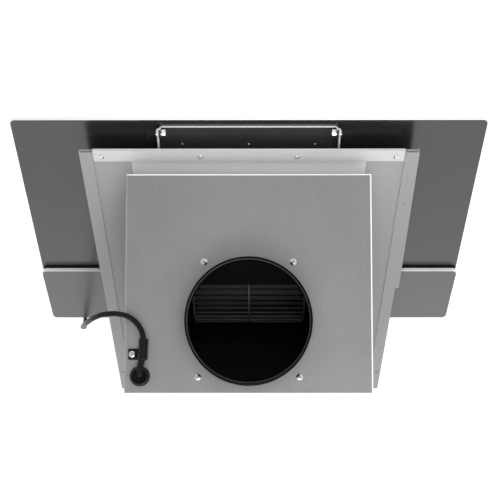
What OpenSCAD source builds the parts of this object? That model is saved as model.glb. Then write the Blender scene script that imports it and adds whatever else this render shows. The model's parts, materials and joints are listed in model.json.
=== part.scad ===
// Wall-mounted inclined range hood, seen as it leaves the carton: housing, blower, hinged glass front.
// X runs along the wall, +Y points into the wall, +Z is up.
// The origin is midway between the two upper wall screws, on the wall plane.

/* [Housing] */
// Width of the housing box and of its top plate
body_w = 298; // [280:1:320]
// Depth of the top plate from the wall
top_d = 265; // [262:1:268]
// Height of the housing from its lower edge to the top plate
body_h = 436; // [430:1:440]
// Lean of the front frame from the vertical, degrees
frame_tilt = 35.2; // [34.6:0.1:35.6]
// Thickness of the folded steel sheet
sheet = 1.2; // [1:0.1:1.5]
// Drop from the top plate to the wall screws
hang_drop = 60; // [50:1:80]
// Distance between the two upper wall screws
hang_span = 200; // [160:1:230]

/* [Front frame] */
// Width of the front frame
frame_w = 420; // [400:1:440]
// Length of the front frame up the slope
frame_len = 514; // [512:1:516]
// Width of the folded lips behind the frame
lip_w = 16.3; // [14:0.1:18]
// Height of the trays on the front of the frame
tray_h = 12.5; // [12.5:0.5:13]

/* [Glass] */
// Width of both glass panels
glass_w = 595; // [560:1:600]
// Length of the upper, hinged glass
upper_len = 275; // [265:1:278]
// Thickness of the upper glass
upper_t = 5.5; // [4:0.5:6]
// Length of the lower, fixed glass
lower_len = 107; // [95:1:108]
// Thickness of the lower glass
lower_t = 6; // [4:0.5:6.5]
// Lean of the upper glass from the vertical when shut, degrees
glass_tilt = 38.1; // [37.9:0.1:38.4]

/* [Duct and blower] */
// Outer diameter of the duct collar
duct_d = 150; // [150:1:150]
// Distance of the duct axis from the wall
duct_y = 85; // [83:1:87]
// Diameter of the impeller
impeller_d = 110; // [100:1:112]
// Length of the double impeller
impeller_w = 142; // [130:1:144]
// Number of blades round the impeller
blades = 40; // [30:1:44]

/* [Mains lead] */
// Diameter of the mains lead
cord_d = 6.5; // [6:0.1:7]

/* [Hidden] */
$fn = 48;

steel = "#b9babb";
dark = "#1b1b1c";
pale_glass = "#77787a";

z_top = hang_drop;
z_low = hang_drop - body_h;
half_w = body_w / 2;
inner_half = half_w - 2 * sheet - 0.2;
half_frame = frame_w / 2;
skirt = 12;
fold_r = 2.4;

// Steps through the frame, measured forward from the back of its lips
flange_w0 = sheet;
wall_foot_v = 454.5;
plate_w0 = 2 * sheet + 0.2;
plate_w1 = plate_w0 + sheet;

// Rivets down the lip beside the edge strip, and an open hole near the foot of each lip
rivet_x = 203.5;
rivet_v = [108, 171, 330, 424, 466];
lip_hole_v = 48;
strip_v = 505.2;
strip_x = [-183, -60, 60, 183];

// Filter tray and lower fascia, places up the slope
tray_half = 196;
tray_lo = 281;
tray_hi = 500;
filter_half = 141;
filter_lo = 290.5;
filter_hi = 449.5;
fascia_lo = 14;
fascia_hi = 168;
lamp_x = 112;
lamp_v = 92;
lamp_r = 29;
lower_lo = 171;
lower_back = tray_h + 0.2;

// Hinge line of the upper glass, up the slope and forward of the lips
hinge_v = 524.7;
hinge_w = 21.5;
hinge_z = z_low + hinge_v * cos(frame_tilt) - hinge_w * sin(frame_tilt);
hinge_y = -(hinge_v * sin(frame_tilt) + hinge_w * cos(frame_tilt));
glass_back = 13;
glass_over = 11;
glass_corner = 7;
ear_x0 = 109;
ear_x1 = 111;
arm_x0 = 111.4;
arm_x1 = 113.4;
pin_r = 2.5;
ear_bore_r = 2.55;

// Blower
axis_y = -145;
axis_z = z_top - 105;
impeller_r = impeller_d / 2;
impeller_half = impeller_w / 2;
blade_depth = 12;
scroll_half = 75;
scroll_t = 2;
scroll_start = 101.5;
scroll_r0 = impeller_r + 3;
scroll_rate = 0.08;
boss_angles = [50, -100, -170];
boss_out = scroll_t + 3.4;
inlet_r = 46;
collar_t = 2;
collar_h = 35;
flange_r = 98;
screw_ring = 90;
front_screw_a = 53.5;
rear_screw_a = 47.5;
shaft_r = 4;
motor_r = 34;

// Mains lead: route in millimetres, from the gland over the edge of the top plate
gland_x = 130;
gland_y = -20;
inner_y = -24;
clamp_x = 125.5;
tab_x = 139;
tab_y = -46;
floor_z = z_low - 2.5;
coil_x = 215;
coil_y = -185;
coil_in = 29.4;
coil_out = 42.7;
coil_h = 13.2;
LEAD = [
    [129, -31, 68], [126.5, -42, 68], [125.5, -52, 68], [125.5, -63, 68], [127, -72, 68],
    [131.2, -80.2, 68], [138, -87.4, 68], [147, -92.2, 67.8], [157.5, -94.3, 66.6],
    [167, -94.4, 64], [176.5, -93.6, 58.9], [184.5, -91.7, 51.4], [191, -89.8, 42],
    [200, -87.4, 20], [210, -85.6, -14], [220, -85.8, -60], [229, -88, -110],
    [237, -90.5, -160], [245, -93.3, -210], [253, -96, -260], [262, -99, -315],
    [267.5, -104, -346], [270, -114, -364], [270.5, -128, -373], [268, -144, -375],
    [262, -158, -375.2], [256.5, -171, -375.2], [254.3, -185, -375.2]
];
TAIL = [
    [254.3, -185, -368.7], [254.6, -197, -368.6], [254.6, -207, -369.8], [254.4, -217, -371.6],
    [254, -228, -373], [252.8, -239, -372.3], [250.6, -251, -368.6], [248.4, -263, -363.6],
    [247, -274, -360]
];
PLUG_END = [247, -274, -360];
plug_r = 18.5;

// ---- helpers ----

// Places children on the front slope: y up the slope, z forward of the lips
module slope(v = 0, w = 0)
    translate([0, 0, z_low]) rotate([90 + frame_tilt, 0, 0]) translate([0, v, w]) children();

// Places children on the upper glass: origin on the hinge line, y up the glass, z forward
module on_glass(v = 0, w = 0)
    translate([0, hinge_y, hinge_z]) rotate([90 + glass_tilt, 0, 0]) translate([0, v, w]) children();

// Extrudes a side outline (forward, height above the top plate) along X
module side_extrude(x0, x1)
    translate([x0, 0, z_top]) rotate([90, 0, 90]) linear_extrude(x1 - x0) mirror([1, 0]) children();

module both_sides() {
    children();
    mirror([1, 0, 0]) children();
}

module rounded(w, h, r) {
    square([w - 2 * r, h], center = true);
    square([w, h - 2 * r], center = true);
    for (sx = [-1, 1], sy = [-1, 1])
        translate([sx * (w / 2 - r), sy * (h / 2 - r)]) circle(r);
}

// A block between two places up the slope, between two steps forward
module slab(half, v0, v1, w0, w1)
    slope(v0, w0) translate([-half, 0, 0]) cube([2 * half, v1 - v0, w1 - w0]);

module ring(r_out, r_in, h)
    difference() {
        cylinder(r = r_out, h = h);
        translate([0, 0, -1]) cylinder(r = r_in, h = h + 2);
    }

// Pan-head screw standing on z = 0, head up, with a cross recess
module pan_screw(head_r, head_h, shank_r, shank_l) {
    difference() {
        intersection() {
            cylinder(r = head_r, h = head_h);
            translate([0, 0, head_h - head_r * 1.6]) sphere(r = head_r * 1.6, $fn = 48);
        }
        translate([0, 0, head_h - 0.9]) for (a = [0, 90])
            rotate([0, 0, a]) translate([-head_r * 0.55, -0.45, 0]) cube([head_r * 1.1, 0.9, 2]);
    }
    translate([0, 0, -shank_l]) cylinder(r = shank_r, h = shank_l);
}

// Catmull-Rom place between p[1] and p[2]
function spline(p, t) = 0.5 * ((2 * p[1]) + (p[2] - p[0]) * t
    + (2 * p[0] - 5 * p[1] + 4 * p[2] - p[3]) * t * t
    + (3 * p[1] - p[0] - 3 * p[2] + p[3]) * t * t * t);
function pick(P, i) = P[max(0, min(len(P) - 1, i))];
function smooth_route(P, k) = [
    for (i = [0 : len(P) - 2], j = [0 : k - 1])
        spline([pick(P, i - 1), P[i], P[i + 1], pick(P, i + 2)], j / k),
    P[len(P) - 1]
];
function unit(v) = v / norm(v);
function along(P, i) = unit(pick(P, i + 1) - pick(P, i - 1));
function across(P, i, prev) = let (d = along(P, i)) unit(prev - (prev * d) * d);
function frames(P, i = 0, prev = [0, 0, 1]) = i >= len(P) ? []
    : let (n = across(P, i, prev)) concat([n], frames(P, i + 1, n));

// A tube of round section swept along a route
module tube(route, d, sides = 10, k = 1) {
    P = smooth_route(route, k);
    N = frames(P, 0, [0, 0.3, 1]);
    pts = [for (i = [0 : len(P) - 1], s = [0 : sides - 1])
        let (a = 360 * s / sides, b = cross(along(P, i), N[i]))
            P[i] + (cos(a) * N[i] + sin(a) * b) * d / 2];
    last = (len(P) - 1) * sides;
    faces = concat(
        [[for (s = [0 : sides - 1]) s]],
        [for (i = [0 : len(P) - 2], s = [0 : sides - 1])
            let (a = i * sides + s, b = i * sides + (s + 1) % sides)
                [b, a, a + sides, b + sides]],
        [[for (s = [sides - 1 : -1 : 0]) last + s]]);
    polyhedron(points = pts, faces = faces, convexity = 8);
}

// ---- housing ----

module back_panel() color(steel)
    difference() {
        translate([-inner_half, -sheet, z_low + 3])
            cube([2 * inner_half, sheet, body_h - 3 - fold_r - 0.1]);
        for (sx = [-1, 1]) {
            translate([sx * hang_span / 2, 1, 0]) rotate([90, 0, 0]) cylinder(r = 4.5, h = 4);
            translate([sx * hang_span / 2, 1, z_low + 34]) rotate([90, 0, 0])
                cylinder(r = 2.5, h = 4);
        }
    }

module side_outline() {
    run = (flange_w0 + sheet / 2) / cos(frame_tilt);
    reach = top_d - sheet - 0.2;
    polygon([
        [0, -fold_r - 0.1], [reach, -fold_r - 0.1],
        [reach, -body_h + (reach - run) / tan(frame_tilt)],
        [run, -body_h], [0, -body_h]
    ]);
}

module side_panel() {
    side_extrude(half_w - 2 * sheet - 0.1, half_w - sheet - 0.1) intersection() {
        side_outline();
        translate([0, -body_h + 3]) square([top_d, body_h]);
    }
    slope(6, flange_w0) translate([half_w - 2 * sheet - 0.1, 0, 0])
        cube([half_frame - 3 - half_w + 2 * sheet + 0.1, frame_len - 12, sheet]);
}

module side_panel_left() color(steel) side_panel();
module side_panel_right() color(steel) mirror([1, 0, 0]) side_panel();

module upper_front_wall() color(steel) {
    front = top_d - sheet - 0.3;
    bottom = -body_h + (front - sheet / cos(frame_tilt)) / tan(frame_tilt);
    side_extrude(-inner_half, inner_half)
        translate([front - sheet, bottom]) square([sheet, -bottom - fold_r - 0.1]);
    slab(inner_half, wall_foot_v, frame_len - 6, flange_w0, flange_w0 + sheet);
}

// Outer form of the folded top plate, grown inward by t
module top_form(t) {
    r = fold_r - t;
    h = skirt + 5;
    intersection() {
        translate([0, 0, z_top - t]) rotate([90, 0, 0]) linear_extrude(top_d - t) {
            translate([-half_w + t, -h]) square([body_w - 2 * t, h - r]);
            translate([-half_w + t + r, -h]) square([body_w - 2 * t - 2 * r, h]);
            for (sx = [-1, 1]) translate([sx * (half_w - t - r), -r]) circle(r);
        }
        translate([-half_w - 1, 0, z_top - t]) rotate([90, 0, 90]) linear_extrude(body_w + 2) {
            translate([-top_d + t, -h]) square([top_d - t + 1, h - r]);
            translate([-top_d + t + r, -h]) square([top_d - t - r + 1, h]);
            translate([-top_d + t + r, -r]) circle(r);
        }
    }
}

module top_plate() color(steel)
    difference() {
        top_form(0);
        translate([0, 0.01, 0]) top_form(sheet);
        translate([-half_w - 1, -top_d - 1, z_top - skirt - 20])
            cube([body_w + 2, top_d + 2, 20]);
        translate([0, -duct_y, z_top - 5]) cylinder(r = duct_d / 2 + 1.5, h = 10);
        translate([gland_x, gland_y, z_top - 5]) cylinder(r = 9, h = 10);
        collar_screw_places() translate([0, 0, -5]) cylinder(r = 2.2, h = 10);
        translate([tab_x, tab_y, z_top - 5]) cylinder(r = 1.7, h = 10);
    }

module collar_screw_places()
    for (sx = [-1, 1], a = [front_screw_a, -rear_screw_a])
        translate([sx * screw_ring * cos(a), -duct_y - screw_ring * sin(a), z_top]) children();

// ---- inclined front frame ----

module lip_holes() {
    for (v = rivet_v)
        slope(v, -1) translate([-rivet_x, 0, 0]) cylinder(r = 1.7, h = plate_w1 + 2);
    for (sx = [-1, 1])
        slope(lip_hole_v, -1) translate([sx * rivet_x, 0, 0]) cylinder(r = 1.6, h = sheet + 2);
}

module front_frame() color(steel)
    difference() {
        union() {
            slab(half_frame, 0, frame_len, plate_w0, plate_w1);
            both_sides() slope(0, 0) {
                translate([half_frame - sheet, 0, 0]) cube([sheet, frame_len, plate_w1]);
                translate([half_frame - lip_w, 1, 0]) cube([lip_w, frame_len - 3, sheet]);
            }
            slab(half_frame, frame_len - sheet, frame_len, plate_w0, plate_w1);
        }
        slab(filter_half - 6, filter_lo + 6, filter_hi - 6, -5, 20);
        slab(150, 184, 268, -5, 20);
        slab(tray_half - 12, fascia_lo + 8, fascia_hi - 8, -5, 20);
        lip_holes();
    }

module frame_top_strip() color("#c6c7c8")
    difference() {
        union() {
            slab(half_frame - lip_w - 0.6, frame_len - lip_w, frame_len, 0, sheet);
            slab(half_frame - lip_w - 0.6, frame_len, frame_len + sheet, 0, plate_w1);
        }
        strip_screw_places() translate([0, 0, -5]) cylinder(r = 1.8, h = 10);
    }

module strip_screw_places()
    for (x = strip_x) slope(strip_v, 0) translate([x, 0, 0]) rotate([180, 0, 0]) children();

module strip_screws() color("#d8d8d8") strip_screw_places() pan_screw(3.4, 1.9, 1.75, sheet);

module side_rivets() color("#c9c9c9")
    for (v = rivet_v)
        slope(v, 0) translate([-rivet_x, 0, 0]) {
            intersection() {
                translate([0, 0, -0.9]) cylinder(r = 2.6, h = 0.9);
                translate([0, 0, 3.4]) sphere(r = 4.3, $fn = 48);
            }
            cylinder(r = 1.65, h = sheet);
        }

module edge_strip() color(steel)
    slope(0, 0.4) mirror([1, 0, 0]) {
        linear_extrude(8) polygon([
            [half_frame + 0.1, 512], [half_frame + 1.1, 512],
            [half_frame + 5.2, 254], [half_frame + 4.2, 254]
        ]);
        linear_extrude(1) polygon([
            [half_frame + 0.1, 512], [half_frame + 1.1, 512],
            [half_frame + 5.2, 254], [half_frame + 0.1, 254]
        ]);
    }

// ---- grease filter and its tray ----

module filter_surround() color(steel)
    difference() {
        slab(tray_half, tray_lo, tray_hi, plate_w1, tray_h);
        slab(tray_half - sheet, tray_lo + sheet, tray_hi - sheet, plate_w1 - 1, tray_h - sheet);
        slab(filter_half + 0.5, filter_lo - 0.5, filter_hi + 0.5, 0, tray_h + 1);
    }

module filter_frame() color("#a9abad")
    difference() {
        slab(filter_half, filter_lo, filter_hi, plate_w1 + 0.1, tray_h + 0.5);
        slab(filter_half - 14, filter_lo + 14, filter_hi - 14, 0, tray_h + 3);
        slab(21, filter_lo - 1, filter_lo + 10.5, 7.4, tray_h + 2);
    }

module filter_mesh() color("#8f9295") {
    inner_w = 2 * filter_half - 28.4;
    inner_h = filter_hi - filter_lo - 28.4;
    slope(filter_lo + 14.2, 6.2) translate([-inner_w / 2, 0, 0]) cube([inner_w, inner_h, 3.6]);
    for (i = [0 : 10])
        slope(filter_lo + 14.2 + (i + 0.5) * inner_h / 11 - 1.5, 9.8)
            translate([-inner_w / 2, 0, 0]) cube([inner_w, 3, 1.4]);
}

module filter_latch() color("#2a2a2b") {
    slab(20, filter_lo - 4, filter_lo + 6, 7.6, 11);
    slab(8, filter_lo + 0.8, filter_lo + 5.5, 10.9, 15.2);
}

// ---- lower fascia and lamps ----

module lower_fascia() color(steel)
    difference() {
        slab(tray_half, fascia_lo, fascia_hi, plate_w1, tray_h);
        slab(tray_half - sheet, fascia_lo + sheet, fascia_hi - sheet, 0, tray_h - sheet);
        lamp_places() translate([0, 0, -20]) cylinder(r = lamp_r, h = 50);
    }

module lamp_places()
    for (sx = [-1, 1]) slope(lamp_v, 0) translate([sx * lamp_x, 0, 0]) children();

module lamp_bezels() color("#cfd0d1") lamp_places() {
    translate([0, 0, tray_h]) ring(lamp_r + 4, lamp_r - 4, 1.6);
    translate([0, 0, tray_h - 6]) ring(lamp_r - 0.1, lamp_r - 2, 6);
}

module lamp_lenses() color("#f2f2ee") lamp_places()
    translate([0, 0, tray_h - 3]) cylinder(r = lamp_r - 4.1, h = 3.4);

module lamp_bodies() color("#3a3a3b") lamp_places() {
    translate([0, 0, -8]) cylinder(r = lamp_r - 2.2, h = tray_h + 4.9);
    translate([0, 0, -13]) cylinder(r = 12, h = 5);
}

// ---- upper glass and hinge ----

module upper_glass() color(pale_glass)
    on_glass(glass_over - upper_len / 2, glass_back)
        linear_extrude(upper_t) rounded(glass_w, upper_len, glass_corner);

module hinge_plate() color(dark) {
    difference() {
        on_glass(0, glass_back - 2) {
            translate([0, -29, 0]) linear_extrude(1.9) rounded(2 * ear_x1, 61, 3);
            translate([-ear_x1 + 3, 0, -1.6]) cube([2 * ear_x1 - 6, 1.5, 1.6]);
        }
        for (x = [-84, 0, 84]) on_glass(-24, 0) translate([x, 0, 0]) cylinder(r = 2, h = 20);
    }
    both_sides() on_glass(0, 0) difference() {
        union() {
            translate([ear_x0, 0, 0]) rotate([0, 90, 0]) cylinder(r = 6, h = ear_x1 - ear_x0);
            translate([ear_x0, -6, 0]) cube([ear_x1 - ear_x0, 7.5, glass_back - 2]);
        }
        translate([ear_x0 - 1, 0, 0]) rotate([0, 90, 0])
            cylinder(r = ear_bore_r, h = ear_x1 - ear_x0 + 2);
    }
}

module strike_plates() color("#9a9b9c")
    both_sides() on_glass(-226, glass_back - 1.3)
        translate([186, 0, 0]) linear_extrude(1.2) rounded(20, 28, 3);

module hinge_arms() color("#d5d5d6")
    both_sides() {
        slope(0, 0) difference() {
            union() {
                translate([arm_x0, hinge_v, hinge_w]) rotate([0, 90, 0])
                    cylinder(r = 6, h = arm_x1 - arm_x0);
                translate([arm_x0, 0, 0]) rotate([90, 0, 90]) linear_extrude(arm_x1 - arm_x0)
                    polygon([
                        [493, tray_h + 0.1], [499.5, tray_h + 0.1], [521.5, hinge_w - 5.1],
                        [529, hinge_w + 4.2], [521, hinge_w + 4.7], [493, tray_h + 9]
                    ]);
            }
            translate([arm_x0 - 1, hinge_v, hinge_w]) rotate([0, 90, 0])
                cylinder(r = pin_r, h = 4);
        }
        difference() {
            slope(492.5, tray_h + 0.1) translate([arm_x1 - 0.1, 0, 0]) cube([18, 7, 1.8]);
            slope(496, tray_h - 1) translate([arm_x1 + 11, 0, 0]) cylinder(r = 2, h = 5);
        }
    }

module arm_screws() color("#c8c8c8")
    both_sides() slope(496, tray_h + 1.9) translate([arm_x1 + 11, 0, 0])
        pan_screw(3.2, 1.8, 1.9, 1.8);

module hinge_screws() color("#e2e2e2")
    both_sides() slope(hinge_v, hinge_w) translate([arm_x1, 0, 0]) rotate([0, 90, 0])
        pan_screw(4.4, 2.6, pin_r - 0.02, arm_x1 - 102.5);

module hinge_nuts() color("#dcdcdc")
    both_sides() slope(hinge_v, hinge_w) rotate([0, 90, 0]) {
        translate([0, 0, 107.4]) ring(4.6, pin_r, 1.2);
        translate([0, 0, 103]) difference() {
            cylinder(r = 4.6, h = 4.3, $fn = 6);
            translate([0, 0, -1]) cylinder(r = pin_r, h = 7);
        }
    }

module panel_magnets() color("#2b2b2c")
    both_sides() slope(299, tray_h + 0.1) translate([186, 0, 0]) {
        cylinder(r = 8, h = 4.5);
        cylinder(r = 6, h = 7.6);
    }

// ---- lower glass ----

module lower_glass() color(pale_glass)
    slope(lower_lo + lower_len / 2, lower_back)
        linear_extrude(lower_t) rounded(glass_w, lower_len, glass_corner);

module glass_brackets() color("#8d8e90")
    both_sides() for (x = [162, 188])
        slope(184, plate_w1 + 0.1) translate([x, 0, 0]) cube([10, 86, lower_back - plate_w1 - 0.2]);

module touch_board() color("#1d3b2a") {
    slope(200, lower_back - 2) translate([-80, 0, 0]) cube([160, 46, 1.6]);
    for (i = [-2 : 2])
        slope(223, lower_back - 6.5) translate([i * 30, 0, 0]) cylinder(r = 5, h = 4.4);
}

// ---- duct collar and blower ----

module duct_collar() color(dark)
    translate([0, -duct_y, 0]) {
        translate([0, 0, z_top - 5]) ring(duct_d / 2, duct_d / 2 - collar_t, collar_h + 5);
        translate([0, 0, z_top + collar_h - 6]) ring(duct_d / 2 - 0.01, duct_d / 2 - collar_t - 1, 1.5);
        difference() {
            intersection() {
                translate([0, 0, z_top - 5]) ring(flange_r, duct_d / 2 - 1, 3.6);
                translate([-flange_r, -90, z_top - 6]) cube([2 * flange_r, 170, 6]);
            }
            translate([0, duct_y, 0]) collar_screw_places()
                translate([0, 0, -7]) cylinder(r = 1.9, h = 8);
        }
    }

module collar_screws() color("#e6e6e6")
    collar_screw_places() pan_screw(4, 2.4, 1.85, 4.9);

function scroll_point(a, t) =
    let (r = scroll_r0 + scroll_rate * (scroll_start - a) + t)
        [-axis_y + r * cos(a), axis_z - z_top + r * sin(a)];

// Side outline of the scroll and its outlet; t grows it outward
function scroll_outline(t) = concat(
    [[158 + t, -6], [134 + t, -47 + t / 3]],
    [for (a = [92 : -8 : -180]) scroll_point(a, t)],
    [[13 - t, -34], [13 - t, -6]]);

module scroll_half_shell() {
    difference() {
        union() {
            side_extrude(0.1, scroll_half) difference() {
                polygon(scroll_outline(scroll_t));
                polygon(scroll_outline(0));
                translate([0, -6]) square([170, 12]);
                translate([14, -10]) square([143, 6]);
            }
            side_extrude(scroll_half, scroll_half + scroll_t) polygon(scroll_outline(scroll_t));
        }
        translate([scroll_half - 1, axis_y, axis_z]) rotate([0, 90, 0]) cylinder(r = inlet_r, h = 6);
    }
    for (a = boss_angles) side_extrude(0.1, 8) translate(scroll_point(a, boss_out)) circle(4.5);
}

module scroll_left() color(dark) scroll_half_shell();
module scroll_right() color("#202021") mirror([1, 0, 0]) scroll_half_shell();

module scroll_screws() color("#bdbdbd")
    for (a = boss_angles) {
        p = scroll_point(a, boss_out);
        translate([8.1, -p[0], z_top + p[1]]) rotate([0, 90, 0]) pan_screw(3.2, 2, 1, 0.05);
    }

module inlet_ring()
    translate([scroll_half + scroll_t + 0.1, axis_y, axis_z]) rotate([0, 90, 0])
        rotate_extrude() difference() {
            translate([inlet_r - 1, 0]) square([9, 6]);
            translate([inlet_r - 1, 7]) circle(6);
        }

module inlet_ring_left() color(dark) inlet_ring();
module inlet_ring_right() color(dark) mirror([1, 0, 0]) inlet_ring();

module impeller() color("#2c2c2d")
    translate([0, axis_y, axis_z]) rotate([0, 90, 0]) {
        difference() {
            union() {
                translate([0, 0, -1.2]) cylinder(r = impeller_r, h = 2.4);
                translate([0, 0, -1.2]) cylinder(r = 12, h = 16);
            }
            translate([0, 0, -30]) cylinder(r = shaft_r, h = 60);
        }
        for (sz = [-1, 1]) translate([0, 0, sz * (impeller_half - 1) - 1])
            ring(impeller_r, impeller_r - blade_depth + 1, 2);
        for (i = [0 : blades - 1]) rotate([0, 0, i * 360 / blades])
            translate([impeller_r - 0.8, 0, -impeller_half + 0.5]) rotate([0, 0, 150])
                cube([blade_depth, 1, impeller_w - 1]);
    }

module motor_shaft() color("#cfcfd0")
    translate([-78, axis_y, axis_z]) rotate([0, 90, 0]) cylinder(r = shaft_r, h = 94);

module motor_body() color("#6f7173")
    translate([-66, axis_y, axis_z]) rotate([0, 90, 0]) difference() {
        union() {
            cylinder(r = motor_r, h = 50);
            translate([0, 0, -5]) cylinder(r = 15, h = 60);
        }
        translate([0, 0, -6]) cylinder(r = shaft_r + 0.5, h = 70);
        translate([0, 0, -6]) cylinder(r = 9, h = 6);
        translate([0, 0, 50]) cylinder(r = 9, h = 6);
    }

module motor_bearings() color("#b0a070")
    for (x = [-71, -16]) translate([x, axis_y, axis_z]) rotate([0, 90, 0])
        ring(8.95, shaft_r + 0.03, 5);

module motor_bracket() color("#8a8b8d")
    translate([0, axis_y, axis_z]) rotate([0, 90, 0]) {
        translate([0, 0, -73.2]) ring(28, 11, 2);
        for (a = [90, 210, 330]) rotate([0, 0, a]) {
            translate([24, -5, -86.6]) cube([4, 10, 13.5]);
            translate([24, -5, -88.6]) cube([34, 10, 2]);
            translate([54.5, -5, -86.7]) cube([3.5, 10, 9.5]);
        }
    }

module capacitor() color("#d9d9d4")
    translate([105, -70, z_top - 150]) {
        cylinder(r = 14, h = 55);
        translate([-6, -2, 55]) cube([3, 4, 8]);
        translate([3, -2, 55]) cube([3, 4, 8]);
    }

module control_box() color("#e7e7e2")
    difference() {
        translate([88, -112, z_top - 84]) cube([52, 98, 50]);
        translate([90, -110, z_top - 82]) cube([48, 94, 60]);
    }

module control_lid() color("#dcdcd6")
    difference() {
        translate([87, -113, z_top - 33.9]) cube([54, 100, 2]);
        translate([gland_x, inner_y, z_top - 36]) cylinder(r = 4, h = 6);
    }

module terminal_block() color("#f0f0ee")
    difference() {
        translate([100, -60, z_top - 82]) cube([30, 18, 16]);
        for (i = [0 : 2]) translate([105 + 10 * i, -51, z_top - 78]) cylinder(r = 2.2, h = 20);
    }

module inner_lead() color(dark)
    translate([gland_x, inner_y, z_top - 66]) cylinder(r = cord_d / 2, h = 56);

// ---- mains lead ----

module cord_gland() color(dark)
    translate([gland_x, gland_y, z_top]) {
        cylinder(r = 12, h = 2.5);
        translate([0, 0, 2]) rotate_extrude() difference() {
            square([11, 9.5]);
            translate([11, 9.5]) circle(3);
        }
        translate([-0.8, -7, 8]) rotate([90, 0, -5]) cylinder(r = 4.6, h = 4);
        translate([0, 0, -10]) cylinder(r = 8.9, h = 10);
    }

module cord_clamp() color(dark) {
    difference() {
        translate([clamp_x - 5.8, -64, z_top]) cube([11.6, 25, 13]);
        tube(LEAD, cord_d + 0.3, 10);
    }
    difference() {
        translate([clamp_x + 5.8, -52.7, z_top]) cube([12.7, 13, 2.5]);
        translate([tab_x, tab_y, z_top - 1]) cylinder(r = 1.8, h = 6);
    }
}

module clamp_screw() color("#e6e6e6")
    translate([tab_x, tab_y, z_top + 2.5]) pan_screw(4, 2.2, 1.65, 6);

module power_cord() color(dark) tube(LEAD, cord_d, 10, 2);
module cord_tail() color(dark) tube(TAIL, cord_d, 10, 2);

module cord_coil() color(dark)
    translate([coil_x, coil_y, floor_z]) ring(coil_out, coil_in, coil_h);

module plug_body() color(dark)
    translate(PLUG_END) rotate([90, 0, 0]) {
        cylinder(r1 = 5, r2 = 8, h = 20, $fn = 32);
        translate([0, 0, 20]) cylinder(r1 = 12, r2 = 17, h = 12, $fn = 32);
        translate([0, 0, 32]) cylinder(r = plug_r, h = 18);
    }

module plug_pins() color("#cfcfd0")
    translate(PLUG_END) rotate([90, 0, 0]) for (sx = [-1, 1])
        translate([sx * 9.5, 0, 50]) cylinder(r = 2.4, h = 19);

back_panel();
side_panel_left();
side_panel_right();
upper_front_wall();
top_plate();
front_frame();
frame_top_strip();
strip_screws();
side_rivets();
edge_strip();
filter_surround();
filter_frame();
filter_mesh();
filter_latch();
lower_fascia();
lamp_bezels();
lamp_lenses();
lamp_bodies();
upper_glass();
hinge_plate();
strike_plates();
hinge_arms();
hinge_screws();
hinge_nuts();
arm_screws();
panel_magnets();
lower_glass();
glass_brackets();
touch_board();
duct_collar();
collar_screws();
scroll_left();
scroll_right();
scroll_screws();
inlet_ring_left();
inlet_ring_right();
impeller();
motor_shaft();
motor_body();
motor_bearings();
motor_bracket();
capacitor();
control_box();
control_lid();
terminal_block();
inner_lead();
cord_gland();
cord_clamp();
clamp_screw();
power_cord();
cord_coil();
cord_tail();
plug_body();
plug_pins();
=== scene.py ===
"""Looks of the inclined wall hood: camera, mains lead, detailed pieces, materials, floor and light."""

import json
import math

import bmesh
import bpy
from mathutils import Matrix, Vector


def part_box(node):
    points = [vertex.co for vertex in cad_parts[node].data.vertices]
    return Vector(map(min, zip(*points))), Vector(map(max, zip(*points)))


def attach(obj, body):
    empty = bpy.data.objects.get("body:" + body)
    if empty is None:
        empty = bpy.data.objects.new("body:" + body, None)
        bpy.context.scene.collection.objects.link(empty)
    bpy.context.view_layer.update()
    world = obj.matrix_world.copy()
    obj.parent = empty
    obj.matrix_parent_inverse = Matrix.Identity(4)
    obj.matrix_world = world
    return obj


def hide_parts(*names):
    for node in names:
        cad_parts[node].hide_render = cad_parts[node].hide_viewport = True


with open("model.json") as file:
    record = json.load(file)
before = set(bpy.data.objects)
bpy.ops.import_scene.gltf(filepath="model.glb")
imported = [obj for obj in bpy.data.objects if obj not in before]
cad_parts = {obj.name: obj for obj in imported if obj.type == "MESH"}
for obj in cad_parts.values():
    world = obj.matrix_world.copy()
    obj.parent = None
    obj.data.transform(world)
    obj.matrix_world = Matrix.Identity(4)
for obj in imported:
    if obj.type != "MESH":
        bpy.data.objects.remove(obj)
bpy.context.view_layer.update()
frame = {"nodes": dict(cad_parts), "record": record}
SLOT_OF = {p["node"]: p["material_slot"] for p in frame["record"]["subparts"]}
BODY_OF = {n: b for b, ns in frame["record"]["behaviour"]["bodies"].items() for n in ns}

# ---- camera ----

CAMERA_PLACE = Vector((-0.0044, -0.0182, 1.2112))
CAMERA_TILT = math.radians(4.03)
CAMERA_TURN = math.radians(0.14)
CAMERA_LENS = 69.18
CAMERA_SHIFT = 0.12


def make_camera():
    data = bpy.data.cameras.new("camera")
    data.lens = CAMERA_LENS
    data.shift_y = CAMERA_SHIFT
    data.clip_start = 0.05
    data.clip_end = 50
    camera = bpy.data.objects.new("camera", data)
    bpy.context.scene.collection.objects.link(camera)
    forward = Vector((math.sin(CAMERA_TURN), -math.sin(CAMERA_TILT), -math.cos(CAMERA_TILT))).normalized()
    right = forward.cross(Vector((0, -1, 0))).normalized()
    up = right.cross(forward)
    turn = Matrix((right, up, -forward)).transposed()
    camera.matrix_world = Matrix.Translation(CAMERA_PLACE) @ turn.to_4x4()
    bpy.context.scene.camera = camera


make_camera()

# ---- materials ----

# The range that most of a noise value falls in, and how grain and clouds share a steel sheet
NOISE_LOW = 0.3
NOISE_HIGH = 0.7
GRAIN_SHARE = 0.7
CLOUD_SHARE = 0.3
RIM_COLOR = (0.9, 0.915, 0.91)
LENS_COLOR = (0.92, 0.92, 0.88)


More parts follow.
